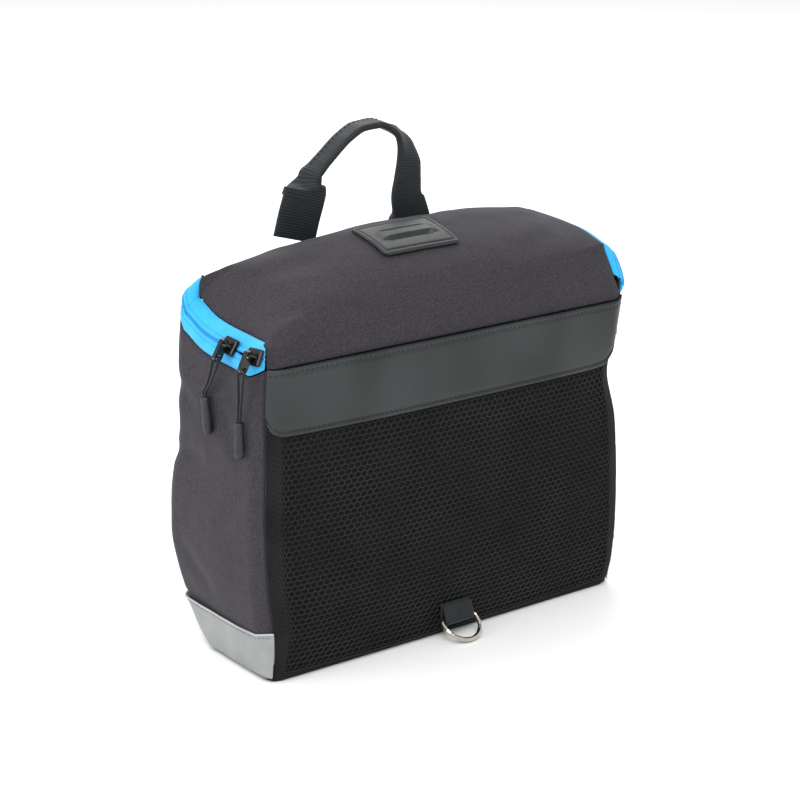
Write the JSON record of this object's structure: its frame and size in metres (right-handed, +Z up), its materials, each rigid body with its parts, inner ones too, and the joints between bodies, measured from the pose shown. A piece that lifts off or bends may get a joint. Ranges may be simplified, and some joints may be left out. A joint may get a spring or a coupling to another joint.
{
  "type": "bicycle handlebar bag",
  "caption": "Soft upright handlebar bag with a domed lid, a zip round its sides and back, a net front under a smooth band, a folded strap handle, reflective corners and a swinging D-ring.",
  "frame": {"origin": "centre of the base, on the floor", "axes": "+Z up, the front with the net faces -Y, the width runs along X"},
  "size_m": [0.2723, 0.1231, 0.2866],
  "materials": {
    "charcoal_cloth": "matt heather weave",
    "black_net": "open net",
    "smooth_vinyl": "smooth, soft sheen",
    "blue_tape": "woven zip tape",
    "reflective_grey": "smooth, silvery",
    "black_webbing": "ribbed weave",
    "dark_rubber": "matt",
    "gloss_black": "glossy",
    "nickel_steel": "polished",
    "plate_plastic": "matt, moulded"
  },
  "bodies": {
    "bag": {"base_panel": "charcoal_cloth", "front_panel": "charcoal_cloth", "left_side_panel": "charcoal_cloth", "right_side_panel": "charcoal_cloth", "back_panel": "charcoal_cloth", "lid": "charcoal_cloth", "mesh_pocket": "black_net", "front_band": "smooth_vinyl", "upper_zip_tape": "blue_tape", "lower_zip_tape": "blue_tape", "left_reflective_strip": "reflective_grey", "right_reflective_strip": "reflective_grey", "handle": "black_webbing", "ring_loop": "black_webbing", "front_pull_cord": "black_webbing", "rear_pull_cord": "black_webbing", "light_clip_patch": "dark_rubber", "front_pull_grip": "dark_rubber", "rear_pull_grip": "dark_rubber", "front_zip_slider": "gloss_black", "rear_zip_slider": "gloss_black", "front_pull_tab": "gloss_black", "rear_pull_tab": "gloss_black", "mount_plate": "plate_plastic"},
    "ring": {"d_ring": "nickel_steel"}
  },
  "joints": [
    {"name": "ring_swing", "type": "hinge", "parent": "bag", "child": "ring", "pos_m": [0, -0.03952, 0.0112], "axis": [-1, 0, 0], "range_deg": [-54, 120]}
  ]
}
